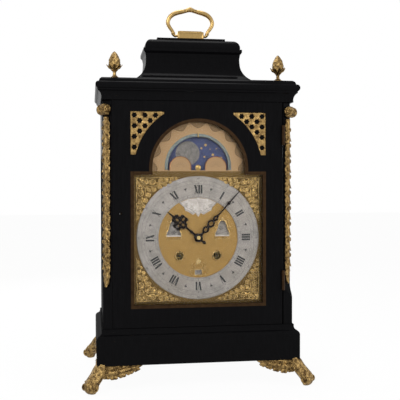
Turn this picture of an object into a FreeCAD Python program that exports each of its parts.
"""Bracket clock with an arched dial, a moon phase and a striking movement.

Millimetres. X runs to the right, Y to the back and Z up. The origin lies on the
surface that the clock stands on, under the middle of its case.
"""

import FreeCAD, Part
import math
import os

V = FreeCAD.Vector

# --- case -----------------------------------------------------------------
BODY_WIDTH = 251.0
BODY_DEPTH = 172.0
FOOT_HEIGHT = 33.0
PLINTH_HEIGHT = 30.0
BASE_MOULDING_HEIGHT = 16.0
PLINTH_OVERHANG = 8.5
PLINTH_WALL = 16.0
PANEL_THICKNESS = 12.0
POST_DEPTH = 24.0
CHAMFER = 11.5
CHAMFER_STOP_START = 29.0
CHAMFER_STOP_END = 57.0
FLOOR_THICKNESS = 10.0
RAIL_HEIGHT = 19.0
RAIL_THICKNESS = 16.0

# --- cornice and bell top -------------------------------------------------
CORNICE_HEIGHT = 29.0
CORNICE_OVERHANG = 8.7
TOP_HOLE_WIDTH = 140.0
TOP_HOLE_DEPTH = 68.0
BELL_TOP_HALF = 86.0
BELL_TOP_DEPTH_LESS = 35.0
BELL_TOP_HEIGHT = 67.0
PLATFORM_HALF = 48.0

# --- feet, handle and gilt mounts -----------------------------------------
FOOT_WIDTH = 18.0
FOOT_REACH = 21.5
FOOT_WING = 53.0
WING_THICKNESS = 6.0
BLOCK_HALF_LENGTH = 18.7
BLOCK_HALF_WIDTH = 6.0
BLOCK_HEIGHT = 10.5
BAIL_THICKNESS = 4.4
BAIL_PIN_RADIUS = 1.9
BAIL_PIVOT_HEIGHT = 5.5
FINIAL_X = 110.0
FINIAL_SETBACK = 14.0
FINIAL_HEIGHT = 36.0
MOUNT_BOTTOM = 54.0
MOUNT_THICKNESS = 2.6

# --- windows --------------------------------------------------------------
SIDE_WINDOW_WIDTH = 76.0
SIDE_WINDOW_BOTTOM = 56.0
SIDE_WINDOW_RISE = 135.0
GLASS_THICKNESS = 2.0
GLASS_REBATE = 2.0
REAR_WINDOW_WIDTH = 180.0
REAR_SILL = 39.0
REAR_HEAD = 41.0

# --- front door -----------------------------------------------------------
DOOR_THICKNESS = 9.5
DOOR_GAP = 0.3
STILE_WIDTH = 35.9
SQUARE_HEIGHT = 178.5
DIAL_DROP = 91.1
ARCH_RADIUS = 65.6
ARCH_RISE = 3.6
TOP_RAIL = 23.0
DOOR_LIP = 2.5
DOOR_GLASS = 1.5
POCKET_MARGIN = 8.0
GLASS_CLEARANCE = 0.15
SLIP_WIDTH = 4.2
FRET_WIDTH = 44.0
FRET_DROP = 14.3
FRET_RISE = 21.6
FRET_ARC = 84.5
FRET_THICKNESS = 2.0
FRET_PITCH = 10.6
FRET_HOLE = 6.4

# --- hinges and lock ------------------------------------------------------
HINGE_LEAF = 0.7
HINGE_LEAF_DEPTH = 9.0
HINGE_LENGTH = 26.0
KNUCKLE_RADIUS = 2.2
HINGE_PIN_RADIUS = 1.2
PIN_CLEARANCE = 0.05
LOW_HINGE = 46.0
HIGH_HINGE = 57.0
LOCK_HEIGHT = 45.0
LOCK_LENGTH = 13.0
LOCK_DEPTH = 6.0
KEYHOLE_RISE = 149.0
KEYHOLE_RADIUS = 1.6
BOLT_HEIGHT = 8.0
BOLT_THICKNESS = 3.0
BOLT_LENGTH = 10.0
BOLT_CLEARANCE = 0.25

# --- dial -----------------------------------------------------------------
DIAL_SETBACK = 10.0
DIAL_THICKNESS = 2.5
DIAL_MARGIN = 4.4
CHAPTER_OUTER = 81.5
CHAPTER_INNER = 53.1
RING_THICKNESS = 1.5
SPANDREL_SIZE = 46.0
SPANDREL_MARGIN = 1.4
MOON_RISE = 2.1
MOON_APERTURE = 40.5
LUNAR_RING_OUTER = 47.7
SILL_DROP = 4.0
HUMP_X = 23.6
HUMP_RADIUS = 14.6
MOON_BOSS = 4.0
MOON_DISC = 42.0
DISC_THICKNESS = 0.9
DISC_GAP = 0.3
DATE_OUTER = 50.3
DATE_INNER = 40.6
DATE_TOP = 42.6
DATE_BOTTOM = 49.4
DATE_HALF_WIDTH = 4.8
CALENDAR_X = 55.0
CALENDAR_Z = 12.0
CALENDAR_RADIUS = 34.0
CALENDAR_WINDOW_X = 32.5
CALENDAR_WINDOW_HALF = 9.5
CALENDAR_WINDOW_HEIGHT = 21.0
STUD_RADIUS = 1.5
WINDING_X = 25.0
WINDING_DROP = 24.0
WINDING_HOLE = 5.0
COLLET_RADIUS = 6.5
CARTOUCHE_HALF = 25.5

# --- movement -------------------------------------------------------------
PLATE_HALF_WIDTH = 65.0
PLATE_RISE = 79.6
PLATE_THICKNESS = 2.5
DIAL_TO_PLATE = 12.0
PLATE_SPACING = 63.0
PILLAR_RADIUS = 4.5
SEAT_DROP = 92.4
SEAT_THICKNESS = 12.0
ARBOR_RADIUS = 1.5
FINE_ARBOR_RADIUS = 1.0
RUNNING_CLEARANCE = 0.05
END_SHAKE = 0.1
CENTRE_PIPE = 2.6
HOUR_PIPE_WALL = 1.2
BARREL_RADIUS = 23.5
BARREL_LENGTH = 38.0
BARREL_ARBOR = 3.0
WINDING_SQUARE = 4.0
WHEEL_THICKNESS = 1.6
GREAT_THICKNESS = 2.5
PINION_THICKNESS = 4.0
PINION_LEAVES = 6
GREAT_TEETH = 60
CENTRE_TEETH = 72
THIRD_TEETH = 72
ESCAPE_TEETH = 31
CANNON_TEETH = 12
MINUTE_TEETH = 36
MINUTE_PINION = 8
HOUR_TEETH = 32
STRIKE_GREAT_MODULE = 0.9
PIN_TEETH = 48
PIN_MODULE = 0.7
LOCKING_TEETH = 40
LOCKING_MODULE = 0.6
PIN_STEP = -14.0
FLY_STEP = 3.0
CENTRE_MODULE = 0.75
MINUTE_MODULE = 0.8
THIRD_MODULE = 0.6
ESCAPE_RADIUS = 15.5
THIRD_X = 14.0
PALLET_RISE = 20.5
PENDULUM_LENGTH = 161.6
BOB_CLEARANCE = 6.7
PENDULUM_SETBACK = 7.0
COCK_DEPTH = 13.0
BOB_RADIUS = 13.0
BOB_THICKNESS = 9.0
BELL_RADIUS = 33.0
BELL_HEIGHT = 36.0
BELL_GAP = 8.0
BELL_WALL = 2.5
HAMMER_X = -47.0
HAMMER_DROP = 25.0

# --- hands ----------------------------------------------------------------
HAND_THICKNESS = 0.8
HOUR_HAND_GAP = 3.0
MINUTE_HAND_GAP = 4.6
HOUR_HAND_ANGLE = -50.0
MINUTE_HAND_ANGLE = 41.8
HOUR_HAND_LENGTH = 53.0
MINUTE_HAND_LENGTH = 82.0

# --- places that follow from the sizes above ------------------------------
HALF_WIDTH = BODY_WIDTH / 2
HALF_DEPTH = BODY_DEPTH / 2
PLINTH_TOP = FOOT_HEIGHT + PLINTH_HEIGHT
BODY_BOTTOM = PLINTH_TOP + BASE_MOULDING_HEIGHT

# The pendulum clears the floor, and the train above it sets the height of the dial and the case.
CENTRE_TO_THIRD = (CENTRE_TEETH + PINION_LEAVES) * CENTRE_MODULE / 2
THIRD_TO_ESCAPE = (THIRD_TEETH + PINION_LEAVES) * THIRD_MODULE / 2
THIRD_RISE = math.sqrt(CENTRE_TO_THIRD ** 2 - THIRD_X ** 2)
ESCAPE_RISE = math.sqrt(THIRD_TO_ESCAPE ** 2 - THIRD_X ** 2)
PALLET_HEIGHT = BODY_BOTTOM + BOB_CLEARANCE + BOB_RADIUS + PENDULUM_LENGTH
DIAL_CENTRE = PALLET_HEIGHT - PALLET_RISE - ESCAPE_RISE - THIRD_RISE
OPENING_BOTTOM = DIAL_CENTRE - DIAL_DROP
OPENING_SHOULDER = OPENING_BOTTOM + SQUARE_HEIGHT
ARCH_CENTRE = OPENING_SHOULDER + ARCH_RISE
BODY_TOP = ARCH_CENTRE + ARCH_RADIUS + TOP_RAIL
CASE_TOP = BODY_TOP + CORNICE_HEIGHT
PLATFORM_TOP = CASE_TOP + BELL_TOP_HEIGHT
INSIDE = HALF_WIDTH - PANEL_THICKNESS
OPENING_HALF = HALF_WIDTH - STILE_WIDTH
FRET_OUTER = OPENING_HALF
FRET_INNER = FRET_OUTER - FRET_WIDTH
FRET_TOP = BODY_TOP - FRET_DROP
FRET_BOTTOM = OPENING_SHOULDER + FRET_RISE
REAR_WINDOW_BOTTOM = BODY_BOTTOM + REAR_SILL
REAR_WINDOW_TOP = BODY_TOP - REAR_HEAD
HINGE_LEVELS = (BODY_BOTTOM + LOW_HINGE, BODY_TOP - HIGH_HINGE)
KEYHOLE_HEIGHT = BODY_BOTTOM + KEYHOLE_RISE
SPANDREL_CORNER = OPENING_HALF - SLIP_WIDTH - SPANDREL_MARGIN
MOON_CENTRE = ARCH_CENTRE + MOON_RISE
MOON_SILL = MOON_CENTRE - SILL_DROP
PLATE_TOP = DIAL_CENTRE + PLATE_RISE
SEAT_TOP = DIAL_CENTRE - SEAT_DROP
BELL_BOTTOM = PLATE_TOP + BELL_GAP
HAMMER_Z = PLATE_TOP - HAMMER_DROP
FRONT = -HALF_DEPTH
DOOR_RIGHT = INSIDE - 2 * HINGE_LEAF - 0.1
DOOR_LEFT = -INSIDE + DOOR_GAP
DOOR_BOTTOM = BODY_BOTTOM + DOOR_GAP
DOOR_TOP = BODY_TOP - DOOR_GAP
DOOR_BACK = FRONT + DOOR_THICKNESS
GLASS_FRONT = FRONT + DOOR_LIP
HINGE_X = DOOR_RIGHT + HINGE_LEAF + 0.05
HINGE_OUT = KNUCKLE_RADIUS + 0.3
DIAL_FRONT = FRONT + DIAL_SETBACK
DIAL_BACK = DIAL_FRONT + DIAL_THICKNESS
PLATE_FRONT = DIAL_BACK + DIAL_TO_PLATE
TRAIN_FRONT = PLATE_FRONT + PLATE_THICKNESS
TRAIN_BACK = TRAIN_FRONT + PLATE_SPACING
PLATE_BACK = TRAIN_BACK + PLATE_THICKNESS
PENDULUM_Y = PLATE_BACK + PENDULUM_SETBACK
WINDING_Z = DIAL_CENTRE - WINDING_DROP
BAIL_PIVOT = PLATFORM_TOP + BAIL_PIVOT_HEIGHT
FINIAL_Y = FRONT + FINIAL_SETBACK

# Small round parts that repeat have this many flats in place of a curve.
FLAT_COUNT = 8
RIM_FLAT_COUNT = 20
RING_FLAT_COUNT = 48
PIPE_FLAT_COUNT = 12

ALONG_X = V(1, 0, 0)
ALONG_Y = V(0, 1, 0)
ALONG_Z = V(0, 0, 1)
ORIGIN = V(0, 0, 0)


# --- drawing helpers ------------------------------------------------------
def front(y):
    """Places outline points (x, z) on the upright plane at depth y."""
    return lambda a, b: V(a, y, b)


def side(x):
    """Places outline points (y, z) on the upright plane at x."""
    return lambda a, b: V(x, a, b)


def plan(z):
    """Places outline points (x, y) on the level plane at height z."""
    return lambda a, b: V(a, b, z)


def outline(points, place):
    """A closed wire. A point (a, b) ends a straight run, and (a, b, c, d) is an arc through (a, b) to (c, d)."""
    edges = []
    last = place(*points[0])
    for point in list(points[1:]) + [points[0][:2]]:
        end = place(*point[-2:])
        if len(point) == 4:
            edges.append(Part.Arc(last, place(*point[:2]), end).toShape())
        elif (end - last).Length > 1e-6:
            edges.append(Part.LineSegment(last, end).toShape())
        last = end
    return Part.Wire(edges)


def sheet(points, place):
    return Part.Face(outline(points, place))


def slab(points, y0, y1):
    """An outline of (x, z) points, made solid from depth y0 to y1."""
    return sheet(points, front(y0)).extrude(V(0, y1 - y0, 0))


def mirrored(points):
    """An outline that runs up the right-hand side, closed by its own mirror image."""
    other = [(-points[-1][-2], points[-1][-1])]
    for index in range(len(points) - 1, 0, -1):
        end = points[index - 1][-2:]
        if len(points[index]) == 4:
            middle = points[index][:2]
            other.append((-middle[0], middle[1], -end[0], end[1]))
        else:
            other.append((-end[0], end[1]))
    return list(points) + other


def block(x0, x1, y0, y1, z0, z1):
    return Part.makeBox(x1 - x0, y1 - y0, z1 - z0, V(x0, y0, z0))


def rod(radius, x, z, y0, y1):
    """A round bar that runs from front to back."""
    return Part.makeCylinder(radius, y1 - y0, V(x, y0, z), ALONG_Y)


def upright(radius, x, y, z0, z1):
    return Part.makeCylinder(radius, z1 - z0, V(x, y, z0), ALONG_Z)


def upright_bar(radius, x, y, z0, z1):
    return sheet(ngon(radius, x, y, FLAT_COUNT), plan(z0)).extrude(V(0, 0, z1 - z0))


def ngon(radius, x, z, flats):
    """The corner points of a regular outline whose corners lie on a circle."""
    turn = 2 * math.pi / flats
    return [(x + radius * math.sin(turn * (n + 0.5)), z + radius * math.cos(turn * (n + 0.5)))
            for n in range(flats)]


def bar(radius, x, z, y0, y1, flats=FLAT_COUNT):
    """A front-to-back bar that stands for a round one, with flats inside its circle."""
    return slab(ngon(radius, x, z, flats), y0, y1)


def bore(radius, x, z, y0, y1, flats=FLAT_COUNT):
    """A front-to-back hole with flats outside a circle, so that a round bar turns in it."""
    return slab(ngon(radius / math.cos(math.pi / flats), x, z, flats), y0, y1)


def faceted(sections):
    """A solid with flat faces between outlines that have equal numbers of corners."""
    faces = [Part.Face(Part.makePolygon(list(end) + [end[0]])) for end in (sections[0], sections[-1])]
    for low, high in zip(sections, sections[1:]):
        for n in range(len(low)):
            corners = [low[n - 1], low[n], high[n], high[n - 1], low[n - 1]]
            faces.append(Part.Face(Part.makePolygon(corners)))
    return Part.makeSolid(Part.makeShell(faces))


def turned(profile, x, y, z, flats):
    """A turned form about an upright axis, from (radius, height) points, cut in flats."""
    return faceted([[V(a, b, z + height) for a, b in ngon(radius, x, y, flats)]
                    for radius, height in profile])


def pair(shape):
    """A solid and its mirror image across the middle of the clock."""
    return [shape, shape.mirror(ORIGIN, ALONG_X)]


def ring(outer, inner, z, y0, y1, flats):
    return bar(outer, 0, z, y0, y1, flats).cut(bar(inner, 0, z, y0, y1, flats))


def moulding(half_x, half_y, section):
    """A mitred length of moulding round a rectangle: the same (overhang, height) section on all four sides."""
    def drawn(half):
        steps = []
        for point in section:
            if len(point) == 4:
                steps.append((half + point[0], point[1], half + point[2], point[3]))
            else:
                steps.append((half + point[0], point[1]))
        return mirrored(steps)

    reach = 2 * (half_x + half_y)
    across = sheet(drawn(half_x), front(-reach)).extrude(V(0, 2 * reach, 0))
    along = sheet(drawn(half_y), side(-reach)).extrude(V(2 * reach, 0, 0))
    return across.common(along)


def save(name, *solids):
    """Writes one node, which may hold several equal solids."""
    flat = []
    for solid in solids:
        flat += solid if isinstance(solid, list) else [solid]
    shape = flat[0] if len(flat) == 1 else Part.makeCompound(flat)
    shape.exportStep(os.path.join("parts", name + ".step"))


# --- case -----------------------------------------------------------------
def foot():
    """The front right scroll foot: a leg on the diagonal, with a leaf along each side of the plinth."""
    corner_x = HALF_WIDTH + PLINTH_OVERHANG
    corner_y = -HALF_DEPTH - PLINTH_OVERHANG
    tip = FOOT_REACH * math.sqrt(2) - FOOT_WIDTH / 2
    toe = tip - 6.4
    top = FOOT_HEIGHT + 6.5
    diagonal = 1 / math.sqrt(2)
    leg = [
        (1.5, top),
        (6.4, 36.5),
        (9.4, 29.0),
        (9.2, 21.0),
        (toe - 2.5, 12.6),
        (tip - 0.7, 10.0),
        (tip, 6.0),
        (toe + 3.4, 1.6),
        (toe, 0.0),
        (toe - 4.0, 0.0),
        (toe - 7.6, 5.0),
        (3.4, 14.0),
        (0.0, 24.0),
        (-8.0, 30.0),
        (-14.0, FOOT_HEIGHT),
        (-14.0, top),
    ]

    def place(n, z):
        shift = FOOT_WIDTH / 2 * diagonal
        return V(corner_x + n * diagonal - shift, corner_y - n * diagonal - shift, z)

    width = V(FOOT_WIDTH * diagonal, FOOT_WIDTH * diagonal, 0)
    shape = sheet(leg, place).extrude(width)
    step = FOOT_WING / 4
    drop = FOOT_HEIGHT - 12.5
    leaf = [(3.0, FOOT_HEIGHT), (3.0, drop)]
    for lobe in range(4):
        start = 3.0 + lobe * step
        low = drop + lobe * 2.6
        leaf += [(start + 0.62 * step, low - 0.4 + 0.6), (start + step, low + 3.4)]
    leaf += [(3.0 + FOOT_WING + 1.5, FOOT_HEIGHT)]
    wing_y = corner_y + 1.0
    along_front = slab([(corner_x - s, z) for s, z in leaf], wing_y, wing_y + WING_THICKNESS)
    wing_x = corner_x - 1.0
    face = sheet([(corner_y + s, z) for s, z in leaf], side(wing_x))
    along_side = face.extrude(V(-WING_THICKNESS, 0, 0))
    shape = shape.fuse([along_front, along_side])
    above = block(-corner_x, corner_x, corner_y, -corner_y, FOOT_HEIGHT, top + 5)
    return shape.cut(above).removeSplitter()


def feet():
    right = [foot(), foot().mirror(ORIGIN, ALONG_Y)]
    save("feet", right, [f.mirror(ORIGIN, ALONG_X) for f in right])


def base():
    half_x = HALF_WIDTH + PLINTH_OVERHANG
    half_y = HALF_DEPTH + PLINTH_OVERHANG
    plinth = block(-half_x, half_x, -half_y, half_y, FOOT_HEIGHT, PLINTH_TOP)
    hollow_x = half_x - PLINTH_WALL
    hollow_y = half_y - PLINTH_WALL
    save("base_plinth", plinth.cut(
        block(-hollow_x, hollow_x, -hollow_y, hollow_y, FOOT_HEIGHT, PLINTH_TOP)))
    top = BODY_BOTTOM
    section = [
        (PLINTH_OVERHANG, PLINTH_TOP),
        (PLINTH_OVERHANG, PLINTH_TOP + 2),
        (7.4, PLINTH_TOP + 6.4, 4.6, PLINTH_TOP + 8.6),
        (2.6, PLINTH_TOP + 10.6, 1.8, top - 2),
        (1.8, top),
    ]
    floor_x = INSIDE
    floor_y = HALF_DEPTH - PANEL_THICKNESS
    frame = moulding(HALF_WIDTH, HALF_DEPTH, section)
    save("base_moulding", frame.cut(block(-floor_x, floor_x, -floor_y, floor_y, PLINTH_TOP, top)))
    save("base_board", block(-floor_x, floor_x, -floor_y, floor_y, top - FLOOR_THICKNESS, top))


def window(margin, thickness, x):
    """The arched side window from x outwards. A rebate for its glass, which is hidden, has a margin and flats."""
    middle = (FRONT + POST_DEPTH + HALF_DEPTH) / 2
    half = SIDE_WINDOW_WIDTH / 2 + margin
    bottom = BODY_BOTTOM + SIDE_WINDOW_BOTTOM - margin
    spring = BODY_BOTTOM + SIDE_WINDOW_BOTTOM + SIDE_WINDOW_RISE
    points = [(middle - half, bottom), (middle + half, bottom), (middle + half, spring)]
    if margin:
        for n in range(1, PIPE_FLAT_COUNT):
            angle = math.pi * n / PIPE_FLAT_COUNT
            points.append((middle + half * math.cos(angle), spring + half * math.sin(angle)))
        points.append((middle - half, spring))
    else:
        points.append((middle, spring + half, middle - half, spring))
    return sheet(points, side(x)).extrude(V(thickness, 0, 0))


def sides():
    panel = block(INSIDE, HALF_WIDTH, FRONT + POST_DEPTH, HALF_DEPTH, BODY_BOTTOM, BODY_TOP)
    ledge = PANEL_THICKNESS / 2
    panel = panel.cut(window(0, PANEL_THICKNESS, INSIDE))
    panel = panel.cut(window(GLASS_REBATE, ledge, INSIDE))
    glass_x = INSIDE + ledge - GLASS_THICKNESS
    glass = window(GLASS_REBATE - GLASS_CLEARANCE, GLASS_THICKNESS, glass_x)
    save("side_panel_right", panel)
    save("side_panel_left", panel.mirror(ORIGIN, ALONG_X))
    save("side_glasses", pair(glass))


def chamfer_cutter():
    """What the chamfer takes off the front right post, with a curved stop above the base."""
    depth = CHAMFER / math.sqrt(2)
    start = BODY_BOTTOM + CHAMFER_STOP_START
    end = BODY_BOTTOM + CHAMFER_STOP_END
    middle = (start + end) / 2
    points = [
        (3.0, BODY_TOP + 1),
        (-depth, BODY_TOP + 1),
        (-depth, end),
        (-depth + 0.8, middle + 6, -depth / 2, middle),
        (-0.9, middle - 5, 0.3, start),
        (3.0, start),
    ]
    diagonal = 1 / math.sqrt(2)

    def place(n, z):
        return V(HALF_WIDTH + (n - 15) * diagonal, FRONT - (n + 15) * diagonal, z)

    return sheet(points, place).extrude(V(30 * diagonal, 30 * diagonal, 0))


def corner_posts():
    post = block(INSIDE, HALF_WIDTH, FRONT, FRONT + POST_DEPTH, BODY_BOTTOM, BODY_TOP)
    right = post.cut(chamfer_cutter())
    left = right.mirror(ORIGIN, ALONG_X)
    half = BOLT_HEIGHT / 2 + BOLT_CLEARANCE
    bolt_y = DOOR_BACK - LOCK_DEPTH / 2 - BOLT_THICKNESS / 2
    mortise = block(-INSIDE - 5, -INSIDE, bolt_y - BOLT_CLEARANCE,
                    bolt_y + BOLT_THICKNESS + BOLT_CLEARANCE,
                    KEYHOLE_HEIGHT - half, KEYHOLE_HEIGHT + half)
    save("corner_posts", right, left.cut(mortise))


def rear_rails():
    y0 = HALF_DEPTH - RAIL_THICKNESS
    low = block(-INSIDE, INSIDE, y0, HALF_DEPTH, BODY_BOTTOM, BODY_BOTTOM + RAIL_HEIGHT)
    high = block(-INSIDE, INSIDE, y0, HALF_DEPTH, BODY_TOP - RAIL_HEIGHT, BODY_TOP)
    save("rear_rails", low, high)


def cornice():
    out = CORNICE_OVERHANG
    section = [
        (1.5, BODY_TOP),
        (2.4, BODY_TOP + 8, 6.0, BODY_TOP + 12),
        (6.0, BODY_TOP + 14),
        (out, BODY_TOP + 18.5, 6.0, BODY_TOP + 23),
        (4.6, BODY_TOP + 23),
        (3.2, BODY_TOP + 26.6),
        (0.6, BODY_TOP + 28.6),
        (-2.0, CASE_TOP),
    ]
    board = moulding(HALF_WIDTH, HALF_DEPTH, section)
    hole_x = TOP_HOLE_WIDTH / 2
    hole_y = TOP_HOLE_DEPTH / 2
    save("cornice", board.cut(block(-hole_x, hole_x, -hole_y, hole_y, BODY_TOP, CASE_TOP)))


def bell_top():
    z = CASE_TOP
    foot_of_curve = -(BELL_TOP_HALF - 77.5)
    section = [
        (0.0, z),
        (0.0, z + 2.5),
        (foot_of_curve + 3.4, z + 3.4),
        (foot_of_curve, z + 7),
        (-17.2, z + 17, -20.6, z + 29),
        (-21.0, z + 36),
        (-20.0, z + 42),
        (-17.7, z + 45),
        (-17.7, z + 49),
        (-20.2, z + 49),
        (-21.4, z + 57, -27.0, z + 62),
        (PLATFORM_HALF - BELL_TOP_HALF, z + 64),
        (PLATFORM_HALF - BELL_TOP_HALF, PLATFORM_TOP),
    ]
    outer = moulding(BELL_TOP_HALF, BELL_TOP_HALF - BELL_TOP_DEPTH_LESS, section)
    inner_x = BELL_TOP_HALF - 30
    inner_y = inner_x - BELL_TOP_DEPTH_LESS
    save("bell_top", outer.cut(block(-inner_x, inner_x, -inner_y, inner_y, z, z + 50)))


# --- gilt mounts and handle -----------------------------------------------
def handle_block():
    long, deep = BLOCK_HALF_LENGTH, BLOCK_HALF_WIDTH
    top = PLATFORM_TOP + BLOCK_HEIGHT
    points = [
        (-long, PLATFORM_TOP), (long, PLATFORM_TOP), (long, top - 3),
        (long - 4, top), (4 - long, top), (-long, top - 3),
    ]
    body = slab(points, -deep, deep)
    hole = BAIL_PIN_RADIUS + PIN_CLEARANCE
    drilled = Part.makeCylinder(hole, 2 * long, V(-long, 0, BAIL_PIVOT), ALONG_X)
    save("handle_block", body.cut(drilled))


def handle():
    """The bail, whose two ends turn inward as pins in the block."""
    z = BAIL_PIVOT
    half_of_bail = [
        (0, z + 35),
        (0, z + 41.5),
        (4.0, z + 41.1),
        (9.0, z + 37.9),
        (14.5, z + 35.9),
        (20.5, z + 35.1),
        (27.0, z + 32.2),
        (31.8, z + 26),
        (34.4, z + 19, 32.6, z + 12.5),
        (28.8, z + 7.7),
        (24.8, z + 3.0),
        (24.2, z - 1.8),
        (21.6, z - 3.3),
        (BLOCK_HALF_LENGTH + 0.5, z - 3.0),
        (BLOCK_HALF_LENGTH + 0.5, z + 3.5),
        (25.4, z + 10.1),
        (28.4, z + 13.7),
        (29.9, z + 18.5),
        (26.0, z + 24.1),
        (19.0, z + 29.4),
        (10.5, z + 31.8),
        (7.5, z + 30.7),
        (4.0, z + 34.0),
    ]
    right = slab(half_of_bail, -BAIL_THICKNESS / 2, BAIL_THICKNESS / 2)
    inner = BLOCK_HALF_LENGTH - 5.0
    pin = sheet(ngon(BAIL_PIN_RADIUS, 0, z, FLAT_COUNT), side(inner)).extrude(V(6.0, 0, 0))
    right = right.fuse(pin)
    save("handle", right.fuse(right.mirror(ORIGIN, ALONG_X)).removeSplitter())


def finials():
    profile = [
        (7, 0), (7, 2), (2.2, 4.5), (2.2, 9), (8.8, 16),
        (8.6, 20), (5.4, 30), (1.0, FINIAL_HEIGHT),
    ]
    save("finials", pair(turned(profile, FINIAL_X, FINIAL_Y, CASE_TOP, FLAT_COUNT)))


def corner_mount():
    """A leafy strap on the right-hand chamfer, hung from a rolled scroll."""
    bottom = BODY_BOTTOM + MOUNT_BOTTOM
    top = BODY_TOP - 21
    leaves = 8
    pitch = (top - bottom - 12) / leaves
    edge = [(1.0, bottom)]
    for leaf in range(leaves):
        z = bottom + 12 + leaf * pitch
        edge += [(6.6, z - 0.25 * pitch), (3.8, z)]
    edge += [(5.2, top)]
    face_x = HALF_WIDTH - CHAMFER / 2
    face_y = FRONT + CHAMFER / 2
    diagonal = 1 / math.sqrt(2)

    def place(s, z):
        return V(face_x + s * diagonal, face_y + s * diagonal, z)

    outward = V(diagonal, -diagonal, 0)
    strap = sheet(mirrored(edge), place).extrude(outward * MOUNT_THICKNESS)
    spine = [(0.6, bottom + 8), (2.4, bottom + 30), (2.4, top)]
    strap = strap.fuse(sheet(mirrored(spine), place).extrude(outward * (MOUNT_THICKNESS + 2)))
    roll = [(0, top - 1), (6.4, top - 1), (9.8, top + 2.4), (12.2, top + 7), (12.2, top + 13),
            (9.6, top + 17.4), (5.0, top + 19.6), (0, top + 19.6)]

    def beside(n, z):
        return V(face_x + (n - 7.5) * diagonal, face_y - (n + 7.5) * diagonal, z)

    scroll = sheet(roll, beside).extrude(V(15 * diagonal, 15 * diagonal, 0))
    return strap.fuse(scroll).removeSplitter()


# --- front door -----------------------------------------------------------
def opening(inset):
    """The arched dial opening, made smaller all round by an inset."""
    half, low, shoulder, radius, foot_x = opening_sizes(inset)
    return [
        (-half, low), (half, low), (half, shoulder), (foot_x, shoulder),
        (0, ARCH_CENTRE + radius, -foot_x, shoulder), (-half, shoulder),
    ]


def hidden_opening(inset):
    """The same opening with flats in place of its arch, for edges that stay out of sight."""
    half, low, shoulder, radius, foot_x = opening_sizes(inset)
    start = math.atan2(shoulder - ARCH_CENTRE, foot_x)
    sweep = math.pi - 2 * start
    points = [(-half, low), (half, low), (half, shoulder)]
    for n in range(PIPE_FLAT_COUNT + 1):
        angle = start + sweep * n / PIPE_FLAT_COUNT
        points.append((radius * math.cos(angle), ARCH_CENTRE + radius * math.sin(angle)))
    return points + [(-half, shoulder)]


def opening_sizes(inset):
    shoulder = OPENING_SHOULDER - inset
    radius = ARCH_RADIUS - inset
    foot_x = math.sqrt(radius ** 2 - (shoulder - ARCH_CENTRE) ** 2)
    return OPENING_HALF - inset, OPENING_BOTTOM + inset, shoulder, radius, foot_x


def fret_outline(inset):
    """The three-sided opening between the arch and the door's right upper corner."""
    outer = FRET_OUTER - inset
    top = FRET_TOP - inset
    low = FRET_BOTTOM + inset
    radius = FRET_ARC + inset
    inner = FRET_INNER + inset
    arc_top = ARCH_CENTRE + math.sqrt(radius ** 2 - inner ** 2)
    arc_end = math.sqrt(radius ** 2 - (low - ARCH_CENTRE) ** 2)
    middle = math.radians(35)
    return [
        (outer, low), (outer, top), (inner, top), (inner, arc_top),
        (radius * math.cos(middle), ARCH_CENTRE + radius * math.sin(middle), arc_end, low),
    ]


def lock_place():
    """The left end and the front of the lock in its mortise."""
    return DOOR_LEFT + 0.8, DOOR_BACK - LOCK_DEPTH


def front_door():
    frame = block(DOOR_LEFT, DOOR_RIGHT, FRONT, DOOR_BACK, DOOR_BOTTOM, DOOR_TOP)
    frame = frame.cut(slab(opening(0), FRONT, DOOR_BACK))
    frame = frame.cut(slab(hidden_opening(-POCKET_MARGIN), GLASS_FRONT, DOOR_BACK))
    right = slab(fret_outline(0), FRONT, DOOR_BACK)
    frame = frame.cut(pair(right))
    lock_x, lock_y = lock_place()
    low = KEYHOLE_HEIGHT - LOCK_HEIGHT / 2
    frame = frame.cut(block(lock_x, lock_x + LOCK_LENGTH, lock_y, DOOR_BACK, low, low + LOCK_HEIGHT))
    frame = frame.cut(bolt_box(BOLT_CLEARANCE, DOOR_LEFT - 1))
    key_x = lock_x + LOCK_LENGTH - 3
    frame = frame.cut(bore(KEYHOLE_RADIUS, key_x, KEYHOLE_HEIGHT, FRONT, lock_y))
    save("front_door", frame)
    slip = slab(opening(0), FRONT, GLASS_FRONT)
    save("door_slip", slip.cut(slab(opening(SLIP_WIDTH), FRONT, GLASS_FRONT)))
    pane = hidden_opening(GLASS_CLEARANCE - POCKET_MARGIN)
    save("front_glass", slab(pane, GLASS_FRONT, GLASS_FRONT + DOOR_GLASS))


def door_frets():
    """Pierced brass: square holes set cornerwise in a close lattice."""
    inset = 0.15
    fret = slab(fret_outline(inset), FRONT + 1, FRONT + 1 + FRET_THICKNESS)
    edge = sheet(fret_outline(inset + 1.2), front(0))
    step = FRET_PITCH / math.sqrt(2)
    reach = FRET_HOLE / math.sqrt(2)
    holes = []
    for row in range(8):
        for column in range(8):
            if (row + column) % 2:
                continue
            x = FRET_OUTER - 6.4 - column * step
            z = FRET_TOP - 6.4 - row * step
            corners = [(x - reach, z), (x, z - reach), (x + reach, z), (x, z + reach)]
            if all(edge.isInside(V(a, 0, b), 0.01, True) for a, b in corners):
                holes.append(slab(corners, FRONT, FRONT + 4))
    save("door_frets", pair(fret.cut(holes)))


def bolt_box(clearance, left):
    """The way that the lock bolt takes, from its tail to a left end."""
    y0 = DOOR_BACK - LOCK_DEPTH / 2 - BOLT_THICKNESS / 2
    half = BOLT_HEIGHT / 2 + clearance
    tail = DOOR_LEFT + BOLT_LENGTH + clearance
    return block(left, tail, y0 - clearance, y0 + BOLT_THICKNESS + clearance,
                 KEYHOLE_HEIGHT - half, KEYHOLE_HEIGHT + half)


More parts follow.
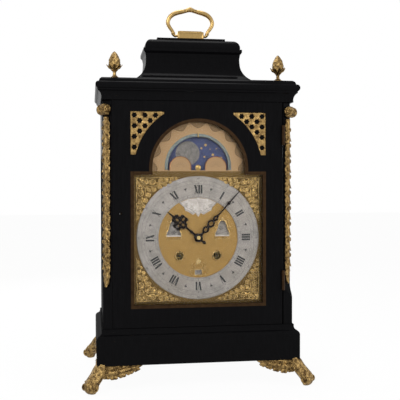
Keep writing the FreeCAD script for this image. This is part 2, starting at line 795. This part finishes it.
def door_lock():
    lock_x, lock_y = lock_place()
    low = KEYHOLE_HEIGHT - LOCK_HEIGHT / 2
    case = block(lock_x, lock_x + LOCK_LENGTH, lock_y, DOOR_BACK, low, low + LOCK_HEIGHT)
    case = case.cut(bolt_box(BOLT_CLEARANCE, lock_x - 1))
    key_x = lock_x + LOCK_LENGTH - 3
    save("door_lock", case.cut(bore(KEYHOLE_RADIUS, key_x, KEYHOLE_HEIGHT, lock_y, lock_y + 2)))
    save("lock_bolt", bolt_box(0, DOOR_LEFT + 0.1))


def rear_door():
    low = BODY_BOTTOM + RAIL_HEIGHT + DOOR_GAP
    high = BODY_TOP - RAIL_HEIGHT - DOOR_GAP
    y0 = HALF_DEPTH - RAIL_THICKNESS + 2
    half = REAR_WINDOW_WIDTH / 2
    frame = block(DOOR_LEFT, DOOR_RIGHT, y0, HALF_DEPTH, low, high)
    frame = frame.cut(block(-half, half, y0, HALF_DEPTH, REAR_WINDOW_BOTTOM, REAR_WINDOW_TOP))
    rebate = 5.0
    glass_y = y0 + 5
    grow = half + rebate
    frame = frame.cut(block(-grow, grow, y0, glass_y, REAR_WINDOW_BOTTOM - rebate,
                            REAR_WINDOW_TOP + rebate))
    save("rear_door", frame)
    save("rear_glass", block(-grow + 0.1, grow - 0.1, glass_y - GLASS_THICKNESS, glass_y,
                             REAR_WINDOW_BOTTOM - rebate + 0.1, REAR_WINDOW_TOP + rebate - 0.1))


def hinge(level, back):
    """One lift-off hinge. The case's half has the pin, and the door's half turns on it."""
    face = HALF_DEPTH if back else FRONT
    out = 1 if back else -1
    axis_y = face + out * HINGE_OUT
    inner_y = face - out * HINGE_LEAF_DEPTH
    y0, y1 = min(inner_y, axis_y), max(inner_y, axis_y)
    middle = level + HINGE_LENGTH / 2
    top = level + HINGE_LENGTH
    case_leaf = block(HINGE_X + 0.05, INSIDE, y0, y1, level, middle)
    inner = face - out * HINGE_LEAF_DEPTH
    fixed = block(HINGE_X + 0.05, INSIDE, min(inner, face), max(inner, face), level, top)
    knuckle = upright_bar(KNUCKLE_RADIUS, HINGE_X, axis_y, level, middle)
    pin = upright_bar(HINGE_PIN_RADIUS, HINGE_X, axis_y, middle, top - 1)
    fixed = fixed.fuse([case_leaf, knuckle, pin])
    door_leaf = block(DOOR_RIGHT, HINGE_X - 0.05, min(inner, face), max(inner, face), level, top)
    tab = block(DOOR_RIGHT, HINGE_X - 0.05, y0, y1, middle + 0.2, top)
    tube = upright_bar(KNUCKLE_RADIUS, HINGE_X, axis_y, middle + 0.2, top)
    moving = door_leaf.fuse([tab, tube])
    eye = upright(HINGE_PIN_RADIUS + PIN_CLEARANCE, HINGE_X, axis_y, middle + 0.2, top - 0.8)
    return fixed.removeSplitter(), moving.cut(eye).removeSplitter()


def hinges():
    on_case = []
    for back, name in ((False, "front_door_hinges"), (True, "rear_door_hinges")):
        on_door = []
        for level in HINGE_LEVELS:
            fixed, moving = hinge(level, back)
            on_case.append(fixed)
            on_door.append(moving)
        save(name, on_door)
    save("case_hinges", on_case)


# --- dial -----------------------------------------------------------------
def moon_opening():
    """The moon's opening: a half disc above a sill, less the two round humps and the middle boss."""
    y0, y1 = DIAL_FRONT - 1, DIAL_BACK + 1
    disc = bar(MOON_APERTURE, 0, MOON_CENTRE, y0, y1, RING_FLAT_COUNT)
    above = block(-MOON_APERTURE, MOON_APERTURE, y0, y1, MOON_SILL, MOON_CENTRE + MOON_APERTURE)
    shape = disc.common(above)
    for x in (-HUMP_X, HUMP_X):
        shape = shape.cut(bar(HUMP_RADIUS, x, MOON_CENTRE, y0, y1, RIM_FLAT_COUNT))
    return shape.cut(bar(MOON_BOSS, 0, MOON_CENTRE - 0.5, y0, y1))


def calendar_window():
    """A bell-shaped opening to the right of the dial's centre."""
    half = CALENDAR_WINDOW_HALF
    low = DIAL_CENTRE + 1.5
    top = low + CALENDAR_WINDOW_HEIGHT
    right = [
        (half, low), (half, low + 4), (half - 2.8, low + 9), (half - 4.4, top - 5),
        (half - 6.4, top - 1.6), (0, top),
    ]
    points = [(0, low)] + right
    half_face = slab(points, DIAL_FRONT - 1, DIAL_BACK + 1)
    whole = half_face.fuse(half_face.mirror(ORIGIN, ALONG_X)).removeSplitter()
    whole.translate(V(CALENDAR_WINDOW_X, 0, 0))
    return whole


def dial_plate():
    plate = slab(hidden_opening(-DIAL_MARGIN), DIAL_FRONT, DIAL_BACK)
    y0, y1 = DIAL_FRONT - 1, DIAL_BACK + 1
    pipe = CENTRE_PIPE + RUNNING_CLEARANCE + HOUR_PIPE_WALL
    cuts = [
        moon_opening(),
        bore(pipe + 0.4, 0, DIAL_CENTRE, y0, y1, PIPE_FLAT_COUNT),
        block(-DATE_HALF_WIDTH, DATE_HALF_WIDTH, y0, y1,
              DIAL_CENTRE - DATE_BOTTOM, DIAL_CENTRE - DATE_TOP),
    ]
    cuts += pair(calendar_window())
    for x in (-WINDING_X, WINDING_X):
        cuts.append(bore(WINDING_HOLE, x, WINDING_Z, y0, y1))
    plate = plate.cut(cuts)
    stud_end = DIAL_BACK + 2 * (DISC_GAP + DISC_THICKNESS) + 0.3
    added = []
    for x in (-CALENDAR_X, CALENDAR_X):
        added.append(bar(STUD_RADIUS, x, DIAL_CENTRE + CALENDAR_Z, DIAL_BACK, stud_end))
    added.append(bar(STUD_RADIUS, 0, MOON_CENTRE - 0.5, DIAL_BACK, stud_end))
    foot_x = PLATE_HALF_WIDTH - 7
    for x in (-foot_x, foot_x):
        for z in (SEAT_TOP + 32, PLATE_TOP - 13):
            added.append(bar(3, x, z, DIAL_BACK, PLATE_FRONT))
    save("dial_plate", plate.fuse(added).removeSplitter())


def dial_mounts():
    y0 = DIAL_FRONT - RING_THICKNESS
    save("chapter_ring", ring(CHAPTER_OUTER, CHAPTER_INNER, DIAL_CENTRE, y0, DIAL_FRONT, RING_FLAT_COUNT))
    lunar = ring(LUNAR_RING_OUTER, MOON_APERTURE, MOON_CENTRE, y0, DIAL_FRONT, RING_FLAT_COUNT)
    lunar = lunar.common(block(-60, 60, y0, DIAL_FRONT, MOON_SILL, MOON_CENTRE + 60))
    save("moon_arch_ring", lunar)
    corner = []
    clear = bar(CHAPTER_OUTER + 1.6, 0, DIAL_CENTRE, y0 - 1, DIAL_FRONT, RING_FLAT_COUNT)
    top = OPENING_SHOULDER - SLIP_WIDTH - 1.6
    low = OPENING_BOTTOM + SLIP_WIDTH + 1.6
    for z, up in ((top, -1), (low, 1)):
        square = block(SPANDREL_CORNER - SPANDREL_SIZE, SPANDREL_CORNER, y0 - 0.5, DIAL_FRONT,
                       min(z, z + up * SPANDREL_SIZE), max(z, z + up * SPANDREL_SIZE))
        piece = square.cut(clear)
        for along in (11, 27):
            notch = 3.6
            x = SPANDREL_CORNER - along
            piece = piece.cut(slab([(x - notch, z), (x, z + up * notch), (x + notch, z)],
                                   y0 - 1, DIAL_FRONT))
            rise = z + up * along
            piece = piece.cut(slab([(SPANDREL_CORNER, rise - notch),
                                    (SPANDREL_CORNER - notch, rise),
                                    (SPANDREL_CORNER, rise + notch)], y0 - 1, DIAL_FRONT))
        corner.append(piece)
    save("dial_spandrels", pair(corner[0]), pair(corner[1]))
    collets = []
    for x in (-WINDING_X, WINDING_X):
        outer = bar(COLLET_RADIUS, x, WINDING_Z, DIAL_FRONT - 1, DIAL_FRONT)
        hole = bore(WINDING_HOLE, x, WINDING_Z, DIAL_FRONT - 1, DIAL_FRONT)
        collets.append(outer.cut(hole))
    save("winding_collets", collets)


def cartouche():
    """A plain silvered plate under twelve, with a scrolled lower edge."""
    radius = CHAPTER_INNER - 0.3
    half = CARTOUCHE_HALF
    edge = DIAL_CENTRE + math.sqrt(radius ** 2 - half ** 2)
    points = [
        (0, DIAL_CENTRE + 27.6),
        (3.4, DIAL_CENTRE + 33.0),
        (7.0, DIAL_CENTRE + 30.4),
        (13.5, DIAL_CENTRE + 34.5),
        (17.5, DIAL_CENTRE + 36.0),
        (19.0, DIAL_CENTRE + 40.5),
        (half, edge),
        (half / 2, DIAL_CENTRE + math.sqrt(radius ** 2 - half ** 2 / 4)),
        (0, DIAL_CENTRE + radius),
    ]
    right = slab(points, DIAL_FRONT - DISC_THICKNESS, DIAL_FRONT)
    save("dial_cartouche", right.fuse(right.mirror(ORIGIN, ALONG_X)).removeSplitter())


def star(x, z, tips, outer, inner, y0, thickness, phase=0.0):
    """A disc with pointed teeth. The phase, in degrees, turns the first tip clockwise from the top."""
    points = []
    for index in range(2 * tips):
        radius = inner if index % 2 else outer
        angle = math.radians(phase) + math.pi * index / tips
        points.append((x + radius * math.sin(angle), z + radius * math.cos(angle)))
    return slab(points, y0, y0 + thickness)


def calendar():
    """Discs that turn behind the dial plate and show through its openings."""
    near = DIAL_BACK + DISC_GAP
    far = near + DISC_THICKNESS + DISC_GAP
    eye = STUD_RADIUS + RUNNING_CLEARANCE
    moon_z = MOON_CENTRE - 0.5
    moon = bar(MOON_DISC, 0, moon_z, near, near + DISC_THICKNESS, RING_FLAT_COUNT)
    save("moon_disc", moon.cut(bore(eye, 0, moon_z, near, far)))
    date = star(0, DIAL_CENTRE, 31, DATE_OUTER, DATE_OUTER - 1.2, near, DISC_THICKNESS)
    hole = bar(DATE_INNER, 0, DIAL_CENTRE, near, near + DISC_THICKNESS, RIM_FLAT_COUNT)
    save("date_ring", date.cut(hole))
    for name, x, teeth in (("day_disc", -CALENDAR_X, 14), ("month_disc", CALENDAR_X, 12)):
        z = DIAL_CENTRE + CALENDAR_Z
        disc = star(x, z, teeth, CALENDAR_RADIUS, CALENDAR_RADIUS - 2.0, far, DISC_THICKNESS)
        save(name, disc.cut(bore(eye, x, z, far, far + DISC_THICKNESS)))


# --- wheels ---------------------------------------------------------------
def wheel(x, z, teeth, module, y0, thickness, phase):
    """A train wheel with pointed teeth, the first of them on the line to its pinion."""
    radius = teeth * module / 2
    return star(x, z, teeth, radius + 0.9 * module, radius - 1.3 * module, y0, thickness, phase)


def pinion(x, z, leaves, module, y0, thickness, phase):
    """A pinion with a gap, in place of a leaf, on the line to its wheel."""
    radius = leaves * module / 2
    return star(x, z, leaves, radius + 0.7 * module, radius - 1.6 * module, y0, thickness,
                phase + 180 / leaves)


def bearing(start, end):
    """The direction from one arbor to another, in degrees clockwise from the top."""
    return math.degrees(math.atan2(end[0] - start[0], end[1] - start[1]))


def along(start, distance, x_step):
    """An arbor at a distance from another, a given step to the side of it and above it."""
    return start[0] + x_step, start[1] + math.sqrt(distance ** 2 - x_step ** 2)


CENTRE = (0.0, DIAL_CENTRE)
GOING = (WINDING_X, WINDING_Z)
STRIKE = (-WINDING_X, WINDING_Z)
GREAT_MODULE = 2 * math.hypot(WINDING_X, WINDING_DROP) / (GREAT_TEETH + PINION_LEAVES)
THIRD = (THIRD_X, DIAL_CENTRE + THIRD_RISE)
ESCAPE = (0.0, THIRD[1] + ESCAPE_RISE)
PALLET = (0.0, ESCAPE[1] + PALLET_RISE)
PIN = along(STRIKE, (GREAT_TEETH + PINION_LEAVES) * STRIKE_GREAT_MODULE / 2, PIN_STEP)
LOCKING = along(PIN, (PIN_TEETH + PINION_LEAVES) * PIN_MODULE / 2, FLY_STEP)
FLY = along(LOCKING, (LOCKING_TEETH + PINION_LEAVES) * LOCKING_MODULE / 2, FLY_STEP)
MINUTE = (0.0, DIAL_CENTRE + (CANNON_TEETH + MINUTE_TEETH) * MINUTE_MODULE / 2)
HOUR_MODULE = 2 * (MINUTE[1] - DIAL_CENTRE) / (HOUR_TEETH + MINUTE_PINION)

GOING_GREAT_Y = TRAIN_BACK - 9.0
STRIKE_GREAT_Y = TRAIN_FRONT + 4.0
CENTRE_WHEEL_Y = TRAIN_FRONT + 0.8
THIRD_WHEEL_Y = TRAIN_FRONT + 29.0
ESCAPE_WHEEL_Y = TRAIN_BACK - 16.0
PIN_WHEEL_Y = TRAIN_BACK - 8.0
LOCKING_WHEEL_Y = TRAIN_BACK - 20.0
CANNON_Y = PLATE_FRONT - 5.0
HOUR_WHEEL_Y = PLATE_FRONT - 8.0
HOUR_HAND_Y = DIAL_FRONT - HOUR_HAND_GAP
MINUTE_HAND_Y = DIAL_FRONT - MINUTE_HAND_GAP


def arbor(place, radius=ARBOR_RADIUS):
    return bar(radius, *place, TRAIN_FRONT + END_SHAKE, TRAIN_BACK - END_SHAKE)


def centred(inner, outer, width):
    """Where a wide pinion starts, so that a wheel runs in its middle."""
    return inner + outer / 2 - width / 2


def going_train():
    great = bearing(GOING, CENTRE)
    disc = wheel(*GOING, GREAT_TEETH, GREAT_MODULE, GOING_GREAT_Y, GREAT_THICKNESS, great)
    drum = bar(BARREL_RADIUS, *GOING, GOING_GREAT_Y - BARREL_LENGTH, GOING_GREAT_Y, RIM_FLAT_COUNT)
    save("going_barrel", disc.fuse([drum] + winding_arbor(GOING)))

    leaves_y = centred(GOING_GREAT_Y, GREAT_THICKNESS, PINION_THICKNESS)
    third_way = bearing(CENTRE, THIRD)
    leaves = pinion(*CENTRE, PINION_LEAVES, GREAT_MODULE, leaves_y, PINION_THICKNESS,
                    bearing(CENTRE, GOING))
    disc = wheel(*CENTRE, CENTRE_TEETH, CENTRE_MODULE, CENTRE_WHEEL_Y, WHEEL_THICKNESS, third_way)
    cannon = wheel(*CENTRE, CANNON_TEETH, MINUTE_MODULE, CANNON_Y, WHEEL_THICKNESS, 0)
    pipe = bar(CENTRE_PIPE, *CENTRE, MINUTE_HAND_Y - 0.4, PLATE_FRONT - 0.3, PIPE_FLAT_COUNT)
    shaft = bar(ARBOR_RADIUS, *CENTRE, PLATE_FRONT - 0.3, TRAIN_BACK - END_SHAKE)
    save("centre_wheel", shaft.fuse([leaves, disc, cannon, pipe]))

    leaves_y = centred(CENTRE_WHEEL_Y, WHEEL_THICKNESS, 1.4)
    leaves = pinion(*THIRD, PINION_LEAVES, CENTRE_MODULE, leaves_y, 1.4, bearing(THIRD, CENTRE))
    disc = wheel(*THIRD, THIRD_TEETH, THIRD_MODULE, THIRD_WHEEL_Y, WHEEL_THICKNESS,
                 bearing(THIRD, ESCAPE))
    save("third_wheel", arbor(THIRD).fuse([leaves, disc]))

    leaves_y = centred(THIRD_WHEEL_Y, WHEEL_THICKNESS, PINION_THICKNESS)
    leaves = pinion(*ESCAPE, PINION_LEAVES, THIRD_MODULE, leaves_y, PINION_THICKNESS,
                    bearing(ESCAPE, THIRD))
    save("escape_wheel", arbor(ESCAPE, FINE_ARBOR_RADIUS).fuse([leaves, escape_disc()]))


def escape_disc():
    """Thirty-one raked teeth, each with a straight back and a hooked front."""
    points = []
    for index in range(ESCAPE_TEETH):
        start = 2 * math.pi * index / ESCAPE_TEETH
        for turn, radius in ((0.0, ESCAPE_RADIUS), (0.42, ESCAPE_RADIUS - 3.4)):
            angle = start + 2 * math.pi * turn / ESCAPE_TEETH
            points.append((ESCAPE[0] + radius * math.sin(angle),
                           ESCAPE[1] + radius * math.cos(angle)))
    return slab(points, ESCAPE_WHEEL_Y, ESCAPE_WHEEL_Y + WHEEL_THICKNESS)


def winding_arbor(place):
    """The barrel's arbor between the plates, and the square that the key turns."""
    x, z = place
    half = WINDING_SQUARE / 2
    end = DIAL_FRONT + 0.5
    square = block(x - half, x + half, end, TRAIN_FRONT, z - half, z + half)
    round_part = bar(BARREL_ARBOR, x, z, PLATE_FRONT - 1.5, TRAIN_BACK - END_SHAKE)
    return [square, round_part]


def strike_train():
    disc = wheel(*STRIKE, GREAT_TEETH, STRIKE_GREAT_MODULE, STRIKE_GREAT_Y, GREAT_THICKNESS,
                 bearing(STRIKE, PIN))
    end = STRIKE_GREAT_Y + GREAT_THICKNESS
    drum = bar(BARREL_RADIUS, *STRIKE, end, end + BARREL_LENGTH, RIM_FLAT_COUNT)
    save("strike_barrel", disc.fuse([drum] + winding_arbor(STRIKE)))

    leaves_y = centred(STRIKE_GREAT_Y, GREAT_THICKNESS, PINION_THICKNESS)
    leaves = pinion(*PIN, PINION_LEAVES, STRIKE_GREAT_MODULE, leaves_y, PINION_THICKNESS,
                    bearing(PIN, STRIKE))
    disc = wheel(*PIN, PIN_TEETH, PIN_MODULE, PIN_WHEEL_Y, WHEEL_THICKNESS, bearing(PIN, LOCKING))
    lifters = star(*PIN, 8, 13, 10, PIN_WHEEL_Y - 2.4, 2.4)
    save("pin_wheel", arbor(PIN).fuse([leaves, disc, lifters]))

    leaves_y = centred(PIN_WHEEL_Y, WHEEL_THICKNESS, PINION_THICKNESS)
    leaves = pinion(*LOCKING, PINION_LEAVES, PIN_MODULE, leaves_y, PINION_THICKNESS,
                    bearing(LOCKING, PIN))
    disc = wheel(*LOCKING, LOCKING_TEETH, LOCKING_MODULE, LOCKING_WHEEL_Y, WHEEL_THICKNESS,
                 bearing(LOCKING, FLY))
    save("locking_wheel", arbor(LOCKING, FINE_ARBOR_RADIUS).fuse([leaves, disc]))

    leaves_y = centred(LOCKING_WHEEL_Y, WHEEL_THICKNESS, PINION_THICKNESS)
    leaves = pinion(*FLY, PINION_LEAVES, LOCKING_MODULE, leaves_y, PINION_THICKNESS,
                    bearing(FLY, LOCKING))
    vane = block(FLY[0] - 8, FLY[0] + 8, TRAIN_FRONT + 12, LOCKING_WHEEL_Y - 6,
                 FLY[1] - 0.5, FLY[1] + 0.5)
    save("fly", arbor(FLY, FINE_ARBOR_RADIUS).fuse([leaves, vane]))


def motion_work():
    inside = CENTRE_PIPE + RUNNING_CLEARANCE
    outside = inside + HOUR_PIPE_WALL
    disc = wheel(*CENTRE, HOUR_TEETH, HOUR_MODULE, HOUR_WHEEL_Y, WHEEL_THICKNESS, 0)
    end = HOUR_WHEEL_Y + WHEEL_THICKNESS
    body = disc.fuse(bar(outside, *CENTRE, HOUR_HAND_Y - 0.3, end, PIPE_FLAT_COUNT))
    save("hour_wheel", body.cut(bore(inside, *CENTRE, DIAL_FRONT - 9, HOUR_WHEEL_Y + 9, PIPE_FLAT_COUNT)))

    teeth_y = centred(HOUR_WHEEL_Y, WHEEL_THICKNESS, 2.4)
    leaves = wheel_gap(MINUTE, MINUTE_PINION, HOUR_MODULE, teeth_y, 2.4 + 1.2)
    disc = wheel_gap(MINUTE, MINUTE_TEETH, MINUTE_MODULE, CANNON_Y, WHEEL_THICKNESS)
    whole = disc.fuse(leaves)
    stud = STUD_RADIUS + RUNNING_CLEARANCE
    save("minute_wheel", whole.cut(bore(stud, *MINUTE, DIAL_BACK, PLATE_FRONT)))


def wheel_gap(place, teeth, module, y0, thickness):
    """A wheel above the dial's centre, with a gap on the line down to the centre."""
    radius = teeth * module / 2
    return star(*place, teeth, radius + 0.7 * module, radius - 1.4 * module, y0, thickness,
                180 + 180 / teeth)


def pallets():
    """The anchor over the escape wheel, on the arbor that carries the pendulum."""
    cx, cz = PALLET
    reach = ESCAPE_RADIUS + 1.6
    tip_x = reach * math.sin(math.radians(45))
    tip_z = ESCAPE[1] + reach * math.cos(math.radians(45))
    edge = [
        (0, cz - 2.6), (4.0, cz - 2.4), (tip_x - 1.0, tip_z + 1.8), (tip_x + 0.2, tip_z + 0.2),
        (tip_x + 2.4, tip_z + 2.2), (6.0, cz + 1.8), (0, cz + 3.2),
    ]
    anchor = slab(mirrored(edge)[:-1], ESCAPE_WHEEL_Y - 0.4, ESCAPE_WHEEL_Y + 2.0)
    end = PLATE_BACK + COCK_DEPTH - 0.1
    save("pallets", bar(ARBOR_RADIUS, cx, cz, TRAIN_FRONT + END_SHAKE, end).fuse(anchor))


def pendulum():
    cx, cz = PALLET
    eye = bar(ARBOR_RADIUS, cx, cz, PENDULUM_Y - 3, PENDULUM_Y + 3)
    hub = bar(4, cx, cz, PENDULUM_Y - 2, PENDULUM_Y + 2)
    bob_z = cz - PENDULUM_LENGTH
    staff = upright_bar(1.2, cx, PENDULUM_Y, bob_z, cz - 2)
    half = BOB_THICKNESS / 2
    profile = [(BOB_RADIUS - 5, -half), (BOB_RADIUS, 0), (BOB_RADIUS - 5, half)]
    bob = faceted([[V(a, PENDULUM_Y + h, b) for a, b in ngon(r, cx, bob_z, 2 * FLAT_COUNT)]
                   for r, h in profile])
    save("pendulum", hub.fuse([staff, bob]).cut(eye))


def plates():
    low = SEAT_TOP
    holes = [(*CENTRE, ARBOR_RADIUS + RUNNING_CLEARANCE)]
    for place in (GOING, STRIKE):
        holes.append((*place, BARREL_ARBOR + RUNNING_CLEARANCE))
    plate = block(-PLATE_HALF_WIDTH, PLATE_HALF_WIDTH, PLATE_FRONT, TRAIN_FRONT, low, PLATE_TOP)
    plate = plate.cut([bore(r, x, z, PLATE_FRONT, TRAIN_FRONT) for x, z, r in holes])
    stud = bar(STUD_RADIUS, *MINUTE, HOUR_WHEEL_Y - 1.0, PLATE_FRONT)
    save("front_plate", plate.fuse(stud))

    back = block(-PLATE_HALF_WIDTH, PLATE_HALF_WIDTH, TRAIN_BACK, PLATE_BACK, low, PLATE_TOP)
    back = back.cut(bore(ARBOR_RADIUS + 1.5, *PALLET, TRAIN_BACK, PLATE_BACK))
    posts = []
    for x in (9 - PLATE_HALF_WIDTH, PLATE_HALF_WIDTH - 9):
        for z in (low + 9, PLATE_TOP - 9):
            posts.append(bar(PILLAR_RADIUS, x, z, TRAIN_FRONT, TRAIN_BACK))
    save("back_plate", back.fuse(posts))

    seat_z = SEAT_TOP - SEAT_THICKNESS
    save("seat_board", block(-INSIDE, INSIDE, DOOR_BACK + 4, PLATE_BACK + 0.5, seat_z, SEAT_TOP))


def back_cock():
    x, z = PALLET
    y0, y1 = PLATE_BACK, PLATE_BACK + COCK_DEPTH
    bridge = block(x - 17, x + 17, y0, y1 + 3, z - 8, z + 10)
    bridge = bridge.cut(block(x - 13.5, x + 13.5, y0, y1, z - 9, z + 11))
    hole = bore(ARBOR_RADIUS + RUNNING_CLEARANCE, x, z, y1 - 2, y1 + 4)
    bearing_block = block(x - 4, x + 4, y1 - 1.5, y1, z - 4, z + 4)
    save("back_cock", bridge.fuse(bearing_block).cut(hole))


def strike_bell():
    middle = (TRAIN_FRONT + TRAIN_BACK) / 2
    r, h, wall = BELL_RADIUS, BELL_HEIGHT, BELL_WALL
    outside = [(r, 0), (0.93 * r, 0.3 * h), (0.8 * r, 0.7 * h), (0.42 * r, h)]
    inside = [(r - wall, 0), (0.93 * r - wall, 0.3 * h), (0.8 * r - wall, 0.67 * h),
              (0.42 * r - wall, h - wall)]
    cup = turned(outside, 0, middle, BELL_BOTTOM, RIM_FLAT_COUNT)
    save("bell", cup.cut(turned(inside, 0, middle, BELL_BOTTOM, RIM_FLAT_COUNT)))
    top = BELL_BOTTOM + h
    arm = block(-6, 6, middle - 6, PLATE_BACK + 3, top, top + 3)
    leg = block(-6, 6, PLATE_BACK, PLATE_BACK + 3, PLATE_TOP - 6, top + 3)
    save("bell_stand", arm.fuse(leg).removeSplitter())
    hx, hz = HAMMER_X, HAMMER_Z
    head_x = -BELL_RADIUS - 0.8
    head = block(head_x - 8, head_x, middle - 4, middle + 4, BELL_BOTTOM + 0.5, BELL_BOTTOM + 8.5)
    arm = slab([(hx - 1.6, hz), (hx + 1.6, hz), (head_x - 2.6, BELL_BOTTOM + 2),
                (head_x - 5.4, BELL_BOTTOM + 2)], middle - 1.2, middle + 1.2)
    tail_y = PIN_WHEEL_Y - 2.4
    tail = slab([(hx - 1.4, hz), (hx - 1.4, hz - 36), (hx + 0.6, hz - 36), (hx + 1.4, hz)],
                tail_y, tail_y + 2)
    save("hammer", arbor((hx, hz)).fuse([head, arm, tail]))


# --- hands ----------------------------------------------------------------
def hand(half_widths, hub, pipe, y0, angle):
    """A pierced hand from (distance, half width) points, turned clockwise from twelve."""
    points = mirrored([(w, DIAL_CENTRE + u) for u, w in half_widths])
    blade = slab(points, y0, y0 + HAND_THICKNESS)
    shape = blade.fuse(bar(hub, *CENTRE, y0, y0 + HAND_THICKNESS, PIPE_FLAT_COUNT))
    shape = shape.cut(bore(pipe, *CENTRE, y0 - 1, y0 + 2, PIPE_FLAT_COUNT))
    shape.rotate(V(0, 0, DIAL_CENTRE), ALONG_Y, angle)
    return shape


def hands():
    tip = HOUR_HAND_LENGTH
    form = [(-12, 0.6), (-9, 2.4), (-4, 1.5), (20, 1.2), (23, 4), (27, 9.6), (31, 5.4), (35, 9.6),
            (39, 3.8), (42, 1.2), (tip, 0.4)]
    pipe = CENTRE_PIPE + RUNNING_CLEARANCE + HOUR_PIPE_WALL
    save("hour_hand", hand(form, 5.6, pipe, HOUR_HAND_Y, HOUR_HAND_ANGLE))
    tip = MINUTE_HAND_LENGTH
    form = [(-4, 1.5), (11, 1.1), (16, 4.4), (20, 1.6), (25, 5.0), (30, 1.5), (35, 3.2), (39, 0.9),
            (59, 0.8), (61.5, 2.2), (64, 0.8), (tip, 0.4)]
    save("minute_hand", hand(form, 4.6, CENTRE_PIPE, MINUTE_HAND_Y, MINUTE_HAND_ANGLE))


def build():
    os.makedirs("parts", exist_ok=True)
    feet()
    base()
    sides()
    corner_posts()
    rear_rails()
    cornice()
    bell_top()
    handle_block()
    handle()
    finials()
    save("corner_mounts", pair(corner_mount()))
    front_door()
    door_frets()
    door_lock()
    rear_door()
    hinges()
    dial_plate()
    dial_mounts()
    cartouche()
    calendar()
    plates()
    going_train()
    strike_train()
    motion_work()
    pallets()
    pendulum()
    back_cock()
    strike_bell()
    hands()


build()
